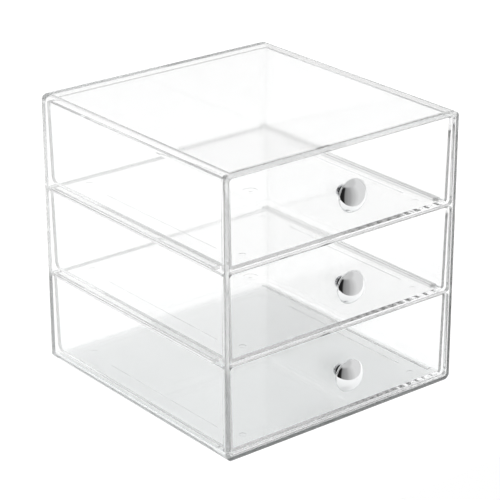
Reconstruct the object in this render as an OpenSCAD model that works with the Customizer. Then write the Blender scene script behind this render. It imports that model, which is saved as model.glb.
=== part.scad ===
// Clear countertop organizer: an open-fronted moulded shell with three drawers.
// Each drawer is one drafted moulding, a tray with its flush front, and carries a
// domed metal knob that a screw holds from inside. Ledges moulded on the shell's
// side walls carry the trays, and ribs on its floor carry the lowest one.
// Millimetres, +Z up. The origin is the centre of the shell's underside, and the
// drawers open towards -Y.

/* [Shell] */
// Width of the shell, outside
shell_w = 165; // [140:1:220]
// Depth of the shell, outside
shell_d = 168; // [120:1:220]
// Height of the shell, outside
shell_h = 165; // [135:1:210]
// Wall thickness of the shell
shell_wall = 2.5; // [2:0.1:3]
// Outside radius of the four edges that run front to back
shell_corner_r = 5; // [4:0.5:9]
// Inside radius of the four edges that run front to back
cavity_corner_r = 3; // [2:0.1:4]
// Outside radius of the edges round the back
back_corner_r = 1; // [0.8:0.1:3]
// Inside radius where the back meets the other walls
cavity_back_r = 0.8; // [0.5:0.1:2]
// Small round on the outside of the front rim
rim_r = 0.8; // [0.4:0.1:1.6]

/* [Ledges] */
// How far a ledge stands in from the side wall
ledge_w = 5.5; // [4.5:0.5:9]
// Thickness of a ledge
ledge_t = 2.4; // [1.8:0.1:3]
// Height of a ledge's top above the bottom of its bay
ledge_rise = 0.8; // [0.7:0.1:1.5]
// Distance from the shell's front to the front end of the ledges
ledge_setback = 13; // [8:1:30]
// Round on a ledge's inner edges
ledge_edge_r = 0.6; // [0.3:0.1:0.8]

/* [Drawer front] */
// Thickness of a drawer front
front_t = 5; // [3:0.1:6]
// Gap round each drawer front
front_gap = 0.4; // [0.3:0.05:0.8]
// Small round on a drawer front's edges
front_edge_r = 0.4; // [0.2:0.1:0.8]

/* [Tray] */
// Thickness of the tray's floor
tray_floor = 2.2; // [1.6:0.1:2.6]
// Thickness of the tray's side and back walls
tray_wall = 2; // [1.6:0.1:3]
// Gap between the tray's upper edge and the shell's side wall
tray_side_gap = 1; // [0.5:0.1:2]
// Draft of the tray's side walls from the vertical, in degrees
tray_draft = 1.4; // [0.5:0.1:2.5]
// Outside radius between the tray's floor and its side walls
tray_corner_r = 3; // [3:0.1:5]
// Outside radius between the tray's floor and its back wall
tray_back_foot_r = 6.5; // [3.5:0.5:9]
// Outside radius of the tray's upright back corners
tray_back_r = 8; // [3.5:0.5:10]
// Gap between a tray's rim and the ledge above it
rim_gap = 0.3; // [0.3:0.1:4]
// Gap behind a closed tray
tray_back_gap = 0.5; // [0.4:0.1:3]
// Running gap between a tray and what carries it
ledge_gap = 0.3; // [0.2:0.05:0.5]

/* [Moulding marks] */
// Depth of every mark in the tray's floor
mark_depth = 0.2; // [0.15:0.05:0.5]
// Diameter of the dimple round the gate, at the middle of the floor
gate_d = 9; // [7:1:16]
// Diameter of the gate's stub in the dimple
gate_stub_d = 2.4; // [1.5:0.1:3]
// Diameter of an ejector mark
ejector_d = 4; // [3:0.5:6]
// Distance of the ejector marks from the tray's side and back walls
ejector_inset = 14; // [12:1:25]
// Distance of the front ejector marks from the drawer front
ejector_front_inset = 9; // [7:1:20]
// Distance of the two insert lines from the tray's side walls
insert_inset = 11; // [8:1:25]
// Distance from the drawer front to the front ends of the insert lines
insert_front_inset = 22; // [10:1:35]
// Distance from the back ends of the insert lines to the tray's back wall
insert_back_inset = 36; // [10:1:45]
// Width of an insert line
insert_w = 0.5; // [0.3:0.1:1]

/* [Knob] */
// Largest diameter of the knob
knob_d = 19.4; // [18:0.2:26]
// How far the knob stands out from the drawer front
knob_l = 11.6; // [11.2:0.2:14]
// Distance from the drawer front to the knob's largest diameter
knob_rim_l = 5.2; // [5:0.2:6]
// Radius of the knob's edge
knob_edge_r = 1.6; // [1.2:0.1:2]
// Diameter of the knob's neck
knob_neck_d = 7.6; // [7:0.2:9]
// Radius of the cove between the neck and the head
knob_cove_r = 1.6; // [1:0.1:1.8]
// Diameter of the knob's foot on the drawer front
knob_foot_d = 9; // [8.4:0.2:12]
// Thickness of the knob's foot
knob_foot_t = 1.2; // [0.8:0.1:1.4]
// Depth of the tapped hole in the knob
knob_hole_l = 7.5; // [6.8:0.1:8]

/* [Screw] */
// Diameter of the screw's shank
screw_d = 4; // [3:0.1:4.2]
// Diameter of the screw's head
screw_head_d = 7; // [6.4:0.1:9]
// Height of the screw's head
screw_head_h = 2.4; // [1.8:0.1:3]
// Width of the cross slot in the screw's head
screw_slot_w = 1; // [0.8:0.1:1.4]
// How deep the screw goes into the knob
screw_bite = 6.5; // [5:0.1:6.6]
// Clearance round the screw in the drawer front
screw_clear = 0.25; // [0.15:0.05:0.5]

/* [Hidden] */
$fn = 72;
clear = [0.93, 0.95, 0.96, 0.35];
chrome = [0.80, 0.81, 0.83];
steel = [0.72, 0.73, 0.75];

// How far a cut passes the faces that it has to clear
over = 1;
// Radial clearance of the screw's shank in the knob
thread_clear = 0.05;

// Inside of the shell
cavity_w = shell_w - 2 * shell_wall;
cavity_h = shell_h - 2 * shell_wall;
front_y = -shell_d / 2;
back_y = shell_d / 2 - shell_wall;
// Whatever is fused to a wall starts this deep inside it
root = shell_wall / 2;

// Bays, counted from the bottom: a drawer front fills one but for its gap
bays = 3;
bay_h = (cavity_h - front_gap) / bays;
function bay_z(bay) = shell_wall + front_gap / 2 + bay * bay_h;

// Drawer front
panel_w = cavity_w - 2 * front_gap;
panel_h = bay_h - front_gap;
panel_corner_r = cavity_corner_r - front_gap;

// Tray, with heights measured from the bottom of its bay
tray_z = ledge_rise + ledge_gap;
tray_h = bay_h + ledge_rise - ledge_t - rim_gap - tray_z;
tray_foot_w = cavity_w - 2 * tray_side_gap - 2 * tray_h * tan(tray_draft);
tray_front_y = front_y + front_t;
tray_back_y = back_y - tray_back_gap;
tray_inside_back_y = tray_back_y - tray_wall;
inside_foot_w = tray_foot_w - 2 * (tray_wall / cos(tray_draft) - tray_floor * tan(tray_draft));
inside_corner_r = tray_corner_r - tray_floor;
inside_back_foot_r = tray_back_foot_r - tray_floor;
inside_back_r = tray_back_r - tray_wall;
floor_middle_y = (tray_front_y + tray_inside_back_y) / 2;

// Axis of a knob and its screw, measured from the bottom of the bay
knob_z = bay_h / 2;
knob_hole_d = screw_d + 2 * thread_clear;

// ---- Outlines ----

// Rectangle with rounded corners, centred on the origin
module rounded_rect(w, h, r) {
    square([w, h - 2 * r], center = true);
    square([w - 2 * r, h], center = true);
    for (x = [-1, 1], y = [-1, 1])
        translate([x * (w / 2 - r), y * (h / 2 - r)])
            circle(r);
}

// Rectangle from y0 to y1 with corner radius r0 at y0 and r1 at y1
module block_outline(w, y0, y1, r0, r1) {
    translate([-w / 2, y0 + r0]) square([w, y1 - y0 - r0 - r1]);
    translate([r0 - w / 2, y0]) square([w - 2 * r0, r0 + over / 2]);
    translate([r1 - w / 2, y1 - r1 - over / 2]) square([w - 2 * r1, r1 + over / 2]);
    for (side = [-1, 1]) {
        translate([side * (w / 2 - r0), y0 + r0]) circle(r0);
        translate([side * (w / 2 - r1), y1 - r1]) circle(r1);
    }
}

// Section of a drafted trough: foot width w, height h, radius r at the foot
module trough_outline(w, h, r) {
    arc_x = w / 2 - r * (1 - sin(tray_draft)) / cos(tray_draft);
    side_x = arc_x + r * cos(tray_draft);
    side_z = r * (1 - sin(tray_draft));
    top_x = w / 2 + h * tan(tray_draft);
    polygon([
        [-arc_x, 0], [arc_x, 0], [side_x, side_z], [top_x, h],
        [-top_x, h], [-side_x, side_z]
    ]);
    for (side = [-1, 1])
        translate([side * arc_x, r]) circle(r);
}

// Turns an outline drawn in x and z into a prism from y0 to y1
module along_y(y0, y1) {
    translate([0, y1, 0])
        rotate([90, 0, 0])
            linear_extrude(y1 - y0) children();
}

// A block with rounds along its depth, on its front edges and on its back edges
module rounded_block(w, h, y0, y1, corner_r, front_r, back_r) {
    intersection() {
        along_y(y0, y1)
            rounded_rect(w, h, corner_r);
        translate([0, 0, -h / 2 - over])
            linear_extrude(h + 2 * over)
                block_outline(w, y0, y1, front_r, back_r);
        rotate([0, 90, 0])
            translate([0, 0, -w / 2 - over])
                linear_extrude(w + 2 * over)
                    block_outline(h, y0, y1, front_r, back_r);
    }
}

// ---- Shell ----

// A ledge on the +X wall; its outer side and its back end are fused to the walls
module ledge(top, thickness) {
    span = ledge_w + root;
    along_y(front_y + ledge_setback, back_y + root)
        translate([cavity_w / 2 + root - span / 2, top - thickness / 2])
            rounded_rect(span, thickness, ledge_edge_r);
}

module shell() {
    color(clear) {
        translate([0, 0, shell_h / 2])
            difference() {
                rounded_block(shell_w, shell_h, front_y, -front_y,
                    shell_corner_r, rim_r, back_corner_r);
                rounded_block(cavity_w, cavity_h, front_y - 2 * over, back_y,
                    cavity_corner_r, rim_r, cavity_back_r);
            }
        for (side = [0, 1])
            mirror([side, 0, 0]) {
                ledge(bay_z(0) + ledge_rise, bay_z(0) + ledge_rise - root);
                for (bay = [1 : bays - 1])
                    ledge(bay_z(bay) + ledge_rise, ledge_t);
            }
    }
}

// ---- Drawer ----

// Side view of a tray, rounded under its back wall
module tray_side_view(y0, y1, foot_r) {
    length = y1 - y0 + over;
    translate([y0 - over, 0]) square([length - foot_r, tray_h]);
    translate([y0 - over, foot_r]) square([length, tray_h - foot_r]);
    translate([y1 - foot_r, foot_r]) circle(foot_r);
}

// Plan of a tray, w wide, from its +X wall at x = 0 with a rounded back corner
module tray_plan(w, y0, y1, back_r) {
    length = y1 - y0 + over;
    translate([-w, y0 - over]) square([w, length - back_r]);
    translate([-w, y0 - over]) square([w - back_r, length]);
    translate([-back_r, y1 - back_r]) circle(back_r);
}

// Solid form of a tray: drafted sides, upright back, rounded foot and back corners
module tray_form(foot_w, y0, y1, foot_r, back_foot_r, back_r) {
    w = foot_w + 2 * tray_h * tan(tray_draft) + 2 * over;
    intersection() {
        along_y(y0, y1)
            trough_outline(foot_w, tray_h, foot_r);
        translate([-w / 2, 0, 0])
            rotate([90, 0, 90])
                linear_extrude(w)
                    tray_side_view(y0, y1, back_foot_r);
        // The rounds of the back corners lean outward with the side walls
        for (side = [0, 1])
            leaning_plan(side, foot_w, w, y0, y1, back_r);
    }
}

// A plan prism that turns about the foot of one side wall to follow its draft
module leaning_plan(side, foot_w, w, y0, y1, back_r) {
    mirror([side, 0, 0])
        translate([foot_w / 2, 0, 0])
            rotate([0, tray_draft, 0])
                translate([0, 0, -tray_h])
                    linear_extrude(3 * tray_h)
                        tray_plan(w, y0, y1, back_r);
}

// What the mould leaves in the tray's floor, as one cutting form
module floor_marks() {
    mark_l = mark_depth + over;
    ejector_x = inside_foot_w / 2 - ejector_inset;
    insert_x = inside_foot_w / 2 - insert_inset;
    insert_y = tray_front_y + insert_front_inset;
    insert_l = tray_inside_back_y - insert_back_inset - insert_y;
    translate([0, 0, tray_floor - mark_depth]) {
        translate([0, floor_middle_y, 0])
            difference() {
                cylinder(h = mark_l, d = gate_d);
                translate([0, 0, -over])
                    cylinder(h = mark_l + over, d = gate_stub_d);
            }
        for (x = [-ejector_x, ejector_x],
             y = [tray_front_y + ejector_front_inset, tray_inside_back_y - ejector_inset])
            translate([x, y, 0])
                cylinder(h = mark_l, d = ejector_d);
        for (x = [-insert_x, insert_x])
            translate([x - insert_w / 2, insert_y, 0])
                cube([insert_w, insert_l, mark_l]);
    }
}

// One drawer, placed on the bottom of its bay
module drawer() {
    color(clear)
    difference() {
        union() {
            translate([0, 0, bay_h / 2])
                rounded_block(panel_w, panel_h, front_y, tray_front_y,
                    panel_corner_r, front_edge_r, front_edge_r);
            translate([0, 0, tray_z])
                difference() {
                    tray_form(tray_foot_w, tray_front_y - front_t / 2, tray_back_y,
                        tray_corner_r, tray_back_foot_r, tray_back_r);
                    translate([0, 0, tray_floor])
                        tray_form(inside_foot_w, tray_front_y, tray_inside_back_y,
                            inside_corner_r, inside_back_foot_r, inside_back_r);
                    floor_marks();
                }
        }
        translate([0, 0, knob_z])
            along_y(front_y - over, tray_front_y + over)
                circle(d = screw_d + 2 * screw_clear);
    }
}

// ---- Knob and screw, along +Z from the face that they bear on ----

// Half section of the knob's head: a dome that runs tangent into a rounded edge
module knob_head_profile() {
    edge_x = knob_d / 2 - knob_edge_r;
    rise = knob_l - knob_rim_l;
    dome_r = (pow(edge_x, 2) + pow(rise, 2) - pow(knob_edge_r, 2)) / (2 * (rise - knob_edge_r));
    dome_z = knob_l - dome_r;
    slope = (knob_rim_l - dome_z) / edge_x;
    underside_z = knob_rim_l - knob_edge_r;
    intersection() {
        translate([0, dome_z]) circle(dome_r, $fn = 144);
        polygon([
            [0, underside_z], [edge_x, underside_z], [edge_x, knob_rim_l],
            [knob_d, dome_z + slope * knob_d], [0, dome_z + slope * knob_d + knob_l]
        ]);
    }
    translate([edge_x, knob_rim_l]) circle(knob_edge_r);
}

// Half section of the foot and the neck, with the cove under the head
module knob_neck_profile() {
    underside_z = knob_rim_l - knob_edge_r;
    neck_r = knob_neck_d / 2;
    square([knob_foot_d / 2, knob_foot_t]);
    square([neck_r, knob_rim_l]);
    difference() {
        translate([0, underside_z - knob_cove_r])
            square([neck_r + knob_cove_r, knob_cove_r + knob_edge_r / 2]);
        translate([neck_r + knob_cove_r, underside_z - knob_cove_r])
            circle(knob_cove_r);
    }
}

module knob() {
    color(chrome)
    difference() {
        rotate_extrude() {
            knob_head_profile();
            knob_neck_profile();
        }
        translate([0, 0, -over])
            cylinder(h = knob_hole_l + over, d = knob_hole_d);
    }
}

// Pan head above the face, shank below it
module knob_screw() {
    head_r = screw_head_d / 2;
    head_round = screw_head_h / 2;
    slot_l = 0.6 * screw_head_d;
    color(steel)
    difference() {
        union() {
            translate([0, 0, -front_t - screw_bite])
                cylinder(h = front_t + screw_bite + over, d = screw_d);
            rotate_extrude() {
                square([head_r, screw_head_h - head_round]);
                square([head_r - head_round, screw_head_h]);
                translate([head_r - head_round, screw_head_h - head_round])
                    circle(head_round);
            }
        }
        for (turn = [0, 90])
            rotate([0, 0, turn])
                translate([-slot_l / 2, -screw_slot_w / 2, screw_head_h / 2])
                    cube([slot_l, screw_slot_w, screw_head_h]);
    }
}

// ---- Places ----

// Lifts a drawer to its bay
module in_bay(bay) {
    translate([0, 0, bay_z(bay)]) children();
}

// Puts a knob on the outside of a drawer front, pointing to -Y
module on_front(bay) {
    in_bay(bay)
        translate([0, front_y, knob_z])
            rotate([90, 0, 0]) children();
}

// Puts a screw on the inside of a drawer front, its head towards +Y
module behind_front(bay) {
    in_bay(bay)
        translate([0, tray_front_y, knob_z])
            rotate([-90, 0, 0]) children();
}

shell();
in_bay(2) drawer();  // drawer_top
in_bay(1) drawer();  // drawer_middle
in_bay(0) drawer();  // drawer_bottom
on_front(2) knob();  // knob_top
on_front(1) knob();  // knob_middle
on_front(0) knob();  // knob_bottom
behind_front(2) knob_screw();  // knob_screw_top
behind_front(1) knob_screw();  // knob_screw_middle
behind_front(0) knob_screw();  // knob_screw_bottom
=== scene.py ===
"""Looks of a clear three-drawer organizer: clear moulded plastic, chrome knobs, a white table.

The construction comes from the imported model. This script dresses its nodes and sets the
table, the studio and the camera. Everything is in metres, in the model's own frame.
"""
import math

import bpy
from mathutils import Matrix, Vector


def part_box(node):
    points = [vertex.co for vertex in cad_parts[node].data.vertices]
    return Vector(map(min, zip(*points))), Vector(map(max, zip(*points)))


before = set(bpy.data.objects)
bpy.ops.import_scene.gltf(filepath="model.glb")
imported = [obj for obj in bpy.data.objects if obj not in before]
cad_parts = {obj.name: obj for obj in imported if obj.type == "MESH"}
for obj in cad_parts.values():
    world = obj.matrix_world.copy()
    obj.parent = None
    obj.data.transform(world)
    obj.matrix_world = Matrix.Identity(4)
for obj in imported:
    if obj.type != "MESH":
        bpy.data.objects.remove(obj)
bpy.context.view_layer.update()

MM = 0.001
DRAWERS = ("top", "middle", "bottom")

# ---- Camera: where the photograph was taken from ----

CAMERA_AZIMUTH = -38.72
CAMERA_ELEVATION = 22.66
CAMERA_ROLL = -0.07
CAMERA_DISTANCE = 1197.2 * MM
CAMERA_AIM_RIGHT = 1.1 * MM
CAMERA_AIM_UP = -6.7 * MM
CAMERA_LENS = 150.42
CAMERA_SENSOR = 36.0


def make_camera():
    """A long lens that looks down at the left front corner."""
    azimuth = math.radians(CAMERA_AZIMUTH)
    elevation = math.radians(CAMERA_ELEVATION)
    back = Vector((math.sin(azimuth) * math.cos(elevation),
                   -math.cos(azimuth) * math.cos(elevation),
                   math.sin(elevation)))
    level_right = Vector((0, 0, 1)).cross(back).normalized()
    level_up = back.cross(level_right)
    roll = math.radians(CAMERA_ROLL)
    right = level_right * math.cos(roll) + level_up * math.sin(roll)
    up = level_up * math.cos(roll) - level_right * math.sin(roll)
    low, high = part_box("shell")
    data = bpy.data.cameras.new("camera")
    data.lens = CAMERA_LENS
    data.sensor_width = CAMERA_SENSOR
    camera = bpy.data.objects.new("camera", data)
    bpy.context.scene.collection.objects.link(camera)
    camera.rotation_mode = "QUATERNION"
    camera.rotation_quaternion = Matrix((right, up, back)).transposed().to_quaternion()
    camera.location = ((low + high) / 2 + back * CAMERA_DISTANCE
                       + right * CAMERA_AIM_RIGHT + up * CAMERA_AIM_UP)
    bpy.context.scene.camera = camera


make_camera()

# ---- Node helpers ----

# Places of the colour sockets on a Mix node, whose socket names repeat for each data type
MIX_COLOUR_A = 6
MIX_COLOUR_B = 7
MIX_COLOUR_RESULT = 2


def new_material(name):
    """An empty node material with its output, as (material, nodes, links, output)."""
    material = bpy.data.materials.new(name)
    material.use_nodes = True
    tree = material.node_tree
    tree.nodes.clear()
    output = tree.nodes.new("ShaderNodeOutputMaterial")
    return material, tree.nodes, tree.links, output


def new_group(name, vector_input, inputs, output, output_type="Float"):
    """A shader node group with one vector input, named values and one output.

    Returns (tree, enter, leave).
    """
    tree = bpy.data.node_groups.new(name, "ShaderNodeTree")
    face = tree.interface
    face.new_socket(vector_input, in_out="INPUT", socket_type="NodeSocketVector")
    for value in inputs:
        face.new_socket(value, in_out="INPUT", socket_type="NodeSocketFloat")
    face.new_socket(output, in_out="OUTPUT", socket_type=f"NodeSocket{output_type}")
    enter = tree.nodes.new("NodeGroupInput")
    leave = tree.nodes.new("NodeGroupOutput")
    return tree, enter, leave


def place_group(nodes, group, **values):
    """A shared group in a material with this material's own values."""
    placed = nodes.new("ShaderNodeGroup")
    placed.node_tree = group
    for name, value in values.items():
        placed.inputs[name].default_value = value
    return placed


def float_mix(tree, factor, first, second):
    """A value between two others; each is an output or a plain number."""
    mix = tree.nodes.new("ShaderNodeMix")
    mix.data_type = "FLOAT"
    tree.links.new(factor, mix.inputs["Factor"])
    for socket, value in (("A", first), ("B", second)):
        if isinstance(value, float):
            mix.inputs[socket].default_value = value
        else:
            tree.links.new(value, mix.inputs[socket])
    return mix.outputs["Result"]


def calculate(tree, operation, first, second, clamp=False):
    """A Math node on two outputs; returns its value."""
    node = tree.nodes.new("ShaderNodeMath")
    node.operation = operation
    node.use_clamp = clamp
    tree.links.new(first, node.inputs[0])
    tree.links.new(second, node.inputs[1])
    return node.outputs["Value"]


def smooth_step(tree, value, low, high):
    """0 below one limit, 1 above the other, smooth in between."""
    step = tree.nodes.new("ShaderNodeMapRange")
    step.interpolation_type = "SMOOTHSTEP"
    step.inputs["From Min"].default_value = low
    step.inputs["From Max"].default_value = high
    tree.links.new(value, step.inputs["Value"])
    return step.outputs["Result"]


def noise(tree, enter, scale_input, detail, distortion):
    """Noise at a group's place, with the scale that one of the group's inputs gives."""
    node = tree.nodes.new("ShaderNodeTexNoise")
    node.inputs["Detail"].default_value = detail
    node.inputs["Distortion"].default_value = distortion
    tree.links.new(enter.outputs["Place"], node.inputs["Vector"])
    tree.links.new(enter.outputs[scale_input], node.inputs["Scale"])
    return node.outputs["Fac"]


# ---- Studio ----

# The table reaches farther behind the organizer than in front of it.
TABLE_LEFT, TABLE_RIGHT = -0.9, 0.9
TABLE_FRONT, TABLE_BACK = -0.17, 1.2
# The organizer stands on a few high points, so there is air under its bottom plate.
TABLE_GAP = 0.05 * MM
TABLE_ALBEDO_SEEN = 0.97
# Painted shade: reflections see the table darker than the camera does.
TABLE_REFLECTED_PAINTED_SHADE = 0.7
TABLE_ALBEDO_BOUNCED = 0.8
# How far the camera's own view of the table is lifted to the white of the background
TABLE_WHITE = 0.75
BACKGROUND_WHITE = 1.0

# Brightness of the studio's walls as reflections show them, by azimuth in degrees from +Y
# towards +X. The dark part makes the dark crescents on the knobs.
WALLS_REFLECTED = (
    (-180, 0.74),
    (-150, 0.48),
    (-130, 0.36),
    (-119, 0.02),
    (-78, 0.02),
    (-60, 1.0),
    (148, 1.0),
    (165, 0.88),
    (180, 0.74),
)
# The same as light that has come through the plastic shows them: white paper all round,
# with one dark gap that the guided light in the walls and fronts looks into
WALLS_THROUGH = (
    (-180, 0.95),
    (-68, 0.95),
    (-56, 0.02),
    (-24, 0.02),
    (-12, 1.0),
    (150, 1.0),
    (180, 0.95),
)
# The ceiling takes over from the walls between these upward parts of a unit direction.
CEILING_BRIGHTNESS = 0.8
CEILING_FROM = 0.7
CEILING_FULL = 0.88


def azimuth_ramp(tree, factor, stops):
    """A colour ramp round the horizon; returns its output."""
    walls = tree.nodes.new("ShaderNodeValToRGB")
    ramp = walls.color_ramp
    ramp.interpolation = "EASE"
    while len(ramp.elements) > 1:
        ramp.elements.remove(ramp.elements[-1])
    first = True
    for azimuth, value in stops:
        place = (azimuth + 180) / 360
        stop = ramp.elements[0] if first else ramp.elements.new(place)
        stop.position = place
        stop.color = (value, value, value, 1)
        first = False
    tree.links.new(factor, walls.inputs["Fac"])
    return walls.outputs["Color"]


def studio_group():
    """Brightness of the studio in one direction: its walls round the table and its ceiling."""
    tree, enter, leave = new_group(
        "studio_brightness", "Direction", ("Ceiling", "Through"), "Brightness")
    split = tree.nodes.new("ShaderNodeSeparateXYZ")
    tree.links.new(enter.outputs["Direction"], split.inputs["Vector"])
    turn = calculate(tree, "ARCTAN2", split.outputs["X"], split.outputs["Y"])
    around = tree.nodes.new("ShaderNodeMapRange")
    around.inputs["From Min"].default_value = -math.pi
    around.inputs["From Max"].default_value = math.pi
    tree.links.new(turn, around.inputs["Value"])
    walls = float_mix(tree, enter.outputs["Through"],
                      azimuth_ramp(tree, around.outputs["Result"], WALLS_REFLECTED),
                      azimuth_ramp(tree, around.outputs["Result"], WALLS_THROUGH))
    lift = smooth_step(tree, split.outputs["Z"], CEILING_FROM, CEILING_FULL)
    studio = float_mix(tree, lift, walls, enter.outputs["Ceiling"])
    tree.links.new(studio, leave.inputs["Brightness"])
    return tree


def make_world():
    """White behind the object for the camera; the studio's own brightness for other rays."""
    world = bpy.data.worlds.new("studio")
    bpy.context.scene.world = world
    world.use_nodes = True
    tree = world.node_tree
    tree.nodes.clear()
    output = tree.nodes.new("ShaderNodeOutputWorld")
    place = tree.nodes.new("ShaderNodeTexCoord")
    around = place_group(tree.nodes, studio_group(), Ceiling=CEILING_BRIGHTNESS)
    tree.links.new(place.outputs["Generated"], around.inputs["Direction"])
    studio = tree.nodes.new("ShaderNodeBackground")
    tree.links.new(around.outputs["Brightness"], studio.inputs["Strength"])
    white = tree.nodes.new("ShaderNodeBackground")
    white.inputs["Color"].default_value = (1, 1, 1, 1)
    white.inputs["Strength"].default_value = BACKGROUND_WHITE
    path = tree.nodes.new("ShaderNodeLightPath")
    tree.links.new(path.outputs["Is Transmission Ray"], around.inputs["Through"])
    mix = tree.nodes.new("ShaderNodeMixShader")
    tree.links.new(path.outputs["Is Camera Ray"], mix.inputs["Fac"])
    tree.links.new(studio.outputs["Background"], mix.inputs[1])
    tree.links.new(white.outputs["Background"], mix.inputs[2])
    tree.links.new(mix.outputs["Shader"], output.inputs["Surface"])


def table_material():
    """White paper with its shadows; the camera sees it lifted towards the background, and
    reflections see it darker as painted shade.
    """
    material, nodes, links, output = new_material("white_table")
    tree = material.node_tree
    path = nodes.new("ShaderNodeLightPath")
    # Painted shade: glossy rays see the table with the darker reflected value.
    glossy = float_mix(tree, path.outputs["Is Glossy Ray"],
                       TABLE_ALBEDO_SEEN, TABLE_REFLECTED_PAINTED_SHADE)
    bounced = float_mix(tree, path.outputs["Is Diffuse Ray"], glossy, TABLE_ALBEDO_BOUNCED)
    paper = nodes.new("ShaderNodeBsdfDiffuse")
    links.new(bounced, paper.inputs["Color"])
    white = nodes.new("ShaderNodeEmission")
    white.inputs["Strength"].default_value = BACKGROUND_WHITE
    lifted = nodes.new("ShaderNodeMath")
    lifted.operation = "MULTIPLY"
    lifted.inputs[1].default_value = TABLE_WHITE
    links.new(path.outputs["Is Camera Ray"], lifted.inputs[0])
    mix = nodes.new("ShaderNodeMixShader")
    links.new(lifted.outputs["Value"], mix.inputs["Fac"])
    links.new(paper.outputs["BSDF"], mix.inputs[1])
    links.new(white.outputs["Emission"], mix.inputs[2])
    links.new(mix.outputs["Shader"], output.inputs["Surface"])
    return material


def make_table():
    """A plain table top under the organizer."""
    corners = [(x, y, -TABLE_GAP) for x, y in (
        (TABLE_LEFT, TABLE_FRONT), (TABLE_RIGHT, TABLE_FRONT),
        (TABLE_RIGHT, TABLE_BACK), (TABLE_LEFT, TABLE_BACK))]
    mesh = bpy.data.meshes.new("table")
    mesh.from_pydata(corners, [], [(0, 1, 2, 3)])
    table = bpy.data.objects.new("table", mesh)
    bpy.context.scene.collection.objects.link(table)
    mesh.materials.append(table_material())


def make_lamp(name, place, aim, size, power):
    """A square soft lamp at a place, facing a point; it shows in no reflection."""
    data = bpy.data.lights.new(name, "AREA")
    data.shape = "SQUARE"
    data.size = size
    data.energy = power
    lamp = bpy.data.objects.new(name, data)
    bpy.context.scene.collection.objects.link(lamp)
    lamp.location = place
    lamp.rotation_mode = "QUATERNION"
    lamp.rotation_quaternion = (Vector(aim) - Vector(place)).to_track_quat("-Z", "Y")
    lamp.visible_glossy = False
    lamp.visible_transmission = False


LAMP_PLACE = (0.3, 0.2, 1.7)
LAMP_AIM = (0, 0, 0.05)
LAMP_SIZE = 1.5
LAMP_POWER = 39.0

make_world()
make_table()
make_lamp("overhead_lamp", LAMP_PLACE, LAMP_AIM, LAMP_SIZE, LAMP_POWER)

# ---- Clear plastic ----

PLASTIC_IOR = 1.49
# Lamps and soft light pass the plastic in a straight line and lose this much per surface.
SHADE_COLOUR = (0.975, 0.978, 0.978, 1)
# What the plastic takes from light along its way
ABSORPTION_COLOUR = (0.9, 0.903, 0.902, 1)
SHELL_COLOUR = (0.998, 0.999, 0.999, 1)
SHELL_DENSITY = 12.0
SHELL_ROUGHNESS = 0.04
DRAWER_COLOUR = (0.998, 0.999, 0.999, 1)
DRAWER_DENSITY = 7.0
DRAWER_ROUGHNESS = 0.025
# The mould leaves broad shallow waves; their scale is the noise's, per metre.
SHELL_WAVES = 34.0
SHELL_WAVE_DEPTH = 0.006 * MM
DRAWER_WAVES = 46.0
DRAWER_WAVE_DEPTH = 0.010 * MM
WAVE_DETAIL = 1.0
WAVE_DISTORTION = 0.6
# The shell's front end faces on the right wall (beyond END_FACE_SIDE) and on the bottom plate
# (below END_FACE_LOW) get painted shade: their base colour is darkened into a dark band.
END_FACE_FRONT = -83.1 * MM
END_FACE_SIDE = 79.9 * MM
END_FACE_LOW = 2.7 * MM
END_FACE_FADE = 0.3 * MM
PAINTED_SHADE_END_COLOUR = (0.20, 0.203, 0.204, 1)
# The underside is textured up to this height, so that it grips the table.
UNDERSIDE_TOP = 0.2 * MM
UNDERSIDE_ROUGHNESS = 0.45


def mould_waves_group():
    """Surface normal with the broad shallow waves that a mould leaves in clear walls."""
    tree, enter, leave = new_group(
        "mould_waves", "Place", ("Waves", "Depth"), "Normal", "Vector")
    bump = tree.nodes.new("ShaderNodeBump")
    bump.inputs["Strength"].default_value = 1.0
    tree.links.new(enter.outputs["Depth"], bump.inputs["Distance"])
    tree.links.new(noise(tree, enter, "Waves", WAVE_DETAIL, WAVE_DISTORTION),
                   bump.inputs["Height"])
    tree.links.new(bump.outputs["Normal"], leave.inputs["Normal"])
    return tree


def underside_group():
    """Roughness that is higher on the textured underside than on the polished faces."""
    tree, enter, leave = new_group(
        "underside_texture", "Place", ("Top", "Polished", "Textured"), "Roughness")
    split = tree.nodes.new("ShaderNodeSeparateXYZ")
    tree.links.new(enter.outputs["Place"], split.inputs["Vector"])
    under = calculate(tree, "LESS_THAN", split.outputs["Z"], enter.outputs["Top"])
    mix = float_mix(tree, under, enter.outputs["Polished"], enter.outputs["Textured"])
    tree.links.new(mix, leave.inputs["Roughness"])
    return tree


def painted_shade_end_group():
    """Mask of the painted shade on the end faces: the front of one side wall and of the bottom
    plate.
    """
    tree, enter, leave = new_group(
        "painted_shade_end_faces", "Place", ("Front", "Side", "Low", "Fade"), "Mask")
    split = tree.nodes.new("ShaderNodeSeparateXYZ")
    tree.links.new(enter.outputs["Place"], split.inputs["Vector"])

    def beyond(larger, smaller):
        depth = calculate(tree, "SUBTRACT", larger, smaller)
        return calculate(tree, "DIVIDE", depth, enter.outputs["Fade"], clamp=True)

    front = beyond(enter.outputs["Front"], split.outputs["Y"])
    side = beyond(split.outputs["X"], enter.outputs["Side"])
    low = beyond(enter.outputs["Low"], split.outputs["Z"])
    either = calculate(tree, "MAXIMUM", side, low)
    tree.links.new(calculate(tree, "MULTIPLY", front, either), leave.inputs["Mask"])
    return tree


MOULD_WAVES = mould_waves_group()
UNDERSIDE = underside_group()
PAINTED_SHADE_END_FACES = painted_shade_end_group()


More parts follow.
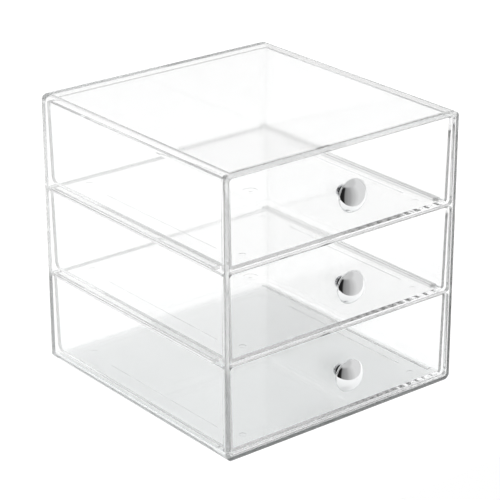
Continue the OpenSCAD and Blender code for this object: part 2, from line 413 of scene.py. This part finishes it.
def clear_plastic(name, colour, painted_end_shade, roughness, density, waves, wave_depth):
    """Clear moulded plastic; lamps and soft light pass it in a straight line."""
    material, nodes, links, output = new_material(name)
    body = nodes.new("ShaderNodeBsdfPrincipled")
    body.inputs["IOR"].default_value = PLASTIC_IOR
    body.inputs["Transmission Weight"].default_value = 1.0
    where = nodes.new("ShaderNodeTexCoord")
    # Painted shade: inside the end-face mask the base colour turns to the darker end colour.
    painted_shade_mask = place_group(nodes, PAINTED_SHADE_END_FACES, Front=END_FACE_FRONT, Side=END_FACE_SIDE,
                       Low=END_FACE_LOW, Fade=END_FACE_FADE)
    links.new(where.outputs["Object"], painted_shade_mask.inputs["Place"])
    painted_shade_mix = nodes.new("ShaderNodeMix")
    painted_shade_mix.data_type = "RGBA"
    painted_shade_mix.inputs[MIX_COLOUR_A].default_value = colour
    painted_shade_mix.inputs[MIX_COLOUR_B].default_value = painted_end_shade
    links.new(painted_shade_mask.outputs["Mask"], painted_shade_mix.inputs["Factor"])
    links.new(painted_shade_mix.outputs[MIX_COLOUR_RESULT], body.inputs["Base Color"])
    wavy = place_group(nodes, MOULD_WAVES, Waves=waves, Depth=wave_depth)
    links.new(where.outputs["Object"], wavy.inputs["Place"])
    links.new(wavy.outputs["Normal"], body.inputs["Normal"])
    finish = place_group(nodes, UNDERSIDE, Top=UNDERSIDE_TOP, Polished=roughness,
                         Textured=UNDERSIDE_ROUGHNESS)
    links.new(where.outputs["Object"], finish.inputs["Place"])
    links.new(finish.outputs["Roughness"], body.inputs["Roughness"])
    shade = nodes.new("ShaderNodeBsdfTransparent")
    shade.inputs["Color"].default_value = SHADE_COLOUR
    path = nodes.new("ShaderNodeLightPath")
    either = calculate(material.node_tree, "MAXIMUM",
                       path.outputs["Is Shadow Ray"], path.outputs["Is Diffuse Ray"])
    mix = nodes.new("ShaderNodeMixShader")
    links.new(either, mix.inputs["Fac"])
    links.new(body.outputs["BSDF"], mix.inputs[1])
    links.new(shade.outputs["BSDF"], mix.inputs[2])
    links.new(mix.outputs["Shader"], output.inputs["Surface"])
    depth = nodes.new("ShaderNodeVolumeAbsorption")
    depth.inputs["Color"].default_value = ABSORPTION_COLOUR
    depth.inputs["Density"].default_value = density
    links.new(depth.outputs["Volume"], output.inputs["Volume"])
    return material


# ---- Plated metal ----

CHROME_COLOUR = (0.86, 0.865, 0.87, 1)
CHROME_ROUGHNESS = 0.03
CHROME_WORN = 0.09
STEEL_COLOUR = (0.66, 0.67, 0.69, 1)
STEEL_ROUGHNESS = 0.18
STEEL_WORN = 0.34
# Scale of the dull patches, per metre, and the part of the noise that shows as a patch
CHROME_MARKS = 420.0
STEEL_MARKS = 900.0
MARK_DETAIL = 3.0
MARK_DISTORTION = 0.8
MARK_FROM = 0.42
MARK_FULL = 0.68


def handled_finish_group():
    """Roughness of a plated surface: polished, with duller patches where fingers touch it."""
    tree, enter, leave = new_group(
        "handled_finish", "Place", ("Marks", "Polished", "Worn"), "Roughness")
    patches = smooth_step(tree, noise(tree, enter, "Marks", MARK_DETAIL, MARK_DISTORTION),
                          MARK_FROM, MARK_FULL)
    mix = float_mix(tree, patches, enter.outputs["Polished"], enter.outputs["Worn"])
    tree.links.new(mix, leave.inputs["Roughness"])
    return tree


HANDLED_FINISH = handled_finish_group()


def plated_metal(name, colour, marks, polished, worn):
    """Plated metal with the dull patches that handling leaves."""
    material, nodes, links, output = new_material(name)
    body = nodes.new("ShaderNodeBsdfPrincipled")
    body.inputs["Base Color"].default_value = colour
    body.inputs["Metallic"].default_value = 1.0
    where = nodes.new("ShaderNodeTexCoord")
    finish = place_group(nodes, HANDLED_FINISH, Marks=marks, Polished=polished, Worn=worn)
    links.new(where.outputs["Object"], finish.inputs["Place"])
    links.new(finish.outputs["Roughness"], body.inputs["Roughness"])
    links.new(body.outputs["BSDF"], output.inputs["Surface"])
    return material


# ---- Which piece has which material ----


def dress(name, material):
    """Gives a node of the model one material."""
    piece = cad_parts[name]
    piece.data.materials.clear()
    piece.data.materials.append(material)


# The shell's end faces get painted shade in their base colour.
CLEAR_SHELL = clear_plastic("clear_shell", SHELL_COLOUR, PAINTED_SHADE_END_COLOUR, SHELL_ROUGHNESS,
                            SHELL_DENSITY, SHELL_WAVES, SHELL_WAVE_DEPTH)
# The drawers get no painted shade on their end faces.
CLEAR_DRAWER = clear_plastic("clear_drawer", DRAWER_COLOUR, DRAWER_COLOUR, DRAWER_ROUGHNESS,
                             DRAWER_DENSITY, DRAWER_WAVES, DRAWER_WAVE_DEPTH)
KNOB_CHROME = plated_metal("knob_chrome", CHROME_COLOUR, CHROME_MARKS, CHROME_ROUGHNESS,
                           CHROME_WORN)
SCREW_STEEL = plated_metal("screw_steel", STEEL_COLOUR, STEEL_MARKS, STEEL_ROUGHNESS,
                           STEEL_WORN)
dress("shell", CLEAR_SHELL)
for place in DRAWERS:
    dress(f"drawer_{place}", CLEAR_DRAWER)
    dress(f"knob_{place}", KNOB_CHROME)
    dress(f"knob_screw_{place}", SCREW_STEEL)

# ---- Render settings that belong to the look ----

# A ray that enters a wall's edge is reflected about thirty times before it leaves the wall,
# and it may cross several walls.
RAY_BOUNCES = 96

scene = bpy.context.scene
scene.view_settings.view_transform = "Standard"
scene.cycles.max_bounces = RAY_BOUNCES
scene.cycles.transmission_bounces = RAY_BOUNCES
scene.cycles.glossy_bounces = RAY_BOUNCES
scene.cycles.transparent_max_bounces = RAY_BOUNCES
